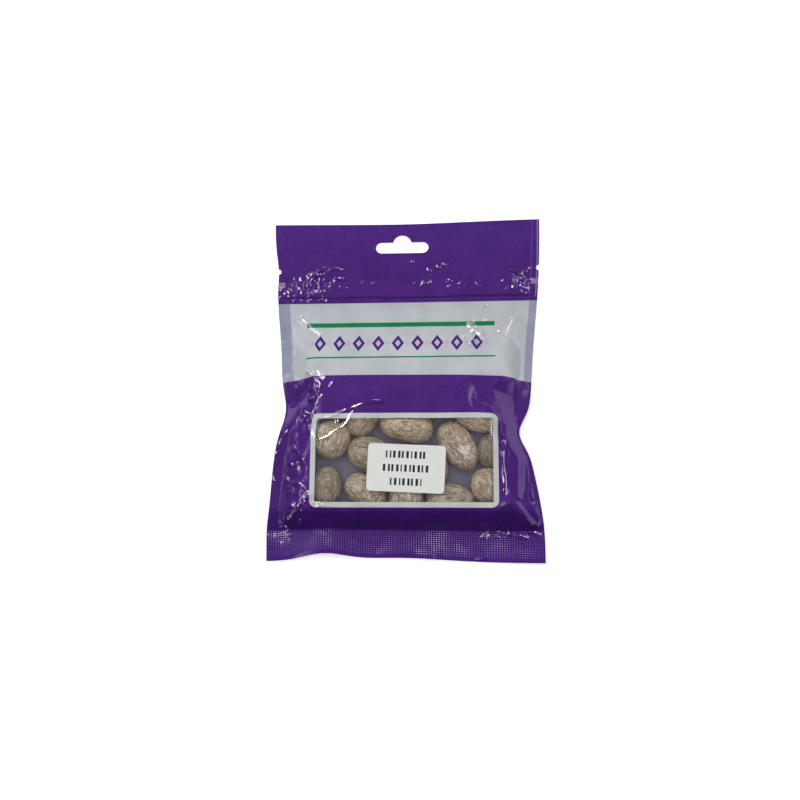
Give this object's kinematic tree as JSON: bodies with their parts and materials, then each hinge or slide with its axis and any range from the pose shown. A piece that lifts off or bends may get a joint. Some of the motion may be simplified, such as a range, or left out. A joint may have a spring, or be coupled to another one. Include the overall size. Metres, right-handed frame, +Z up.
{
  "type": "sealed pouch of whole nutmegs",
  "caption": "Flat film pouch with a clear window over a layer of whole nutmegs, a press-to-close zip, a hang hole and a paper sticker, lying on its back.",
  "frame": {"origin": "on the table under the middle of the pouch's outline", "axes": "+X to the right across the pouch, +Y from the bottom seal to the header, +Z up, out of the window"},
  "size_m": [0.1446, 0.1833, 0.0179],
  "materials": {
    "purple_film": "glossy printed film with a pale band, creased beside the filling and crimped at the bottom",
    "clear_film": "clear glossy film, the unprinted window of the front",
    "nutmeg": "dull grey-brown seed with a fine net of pale dusty wrinkles",
    "sticker_paper": "semi-matt white label stock"
  },
  "bodies": {
    "root": {"pouch": "purple_film", "sticker": "sticker_paper"}
  },
  "joints": []
}
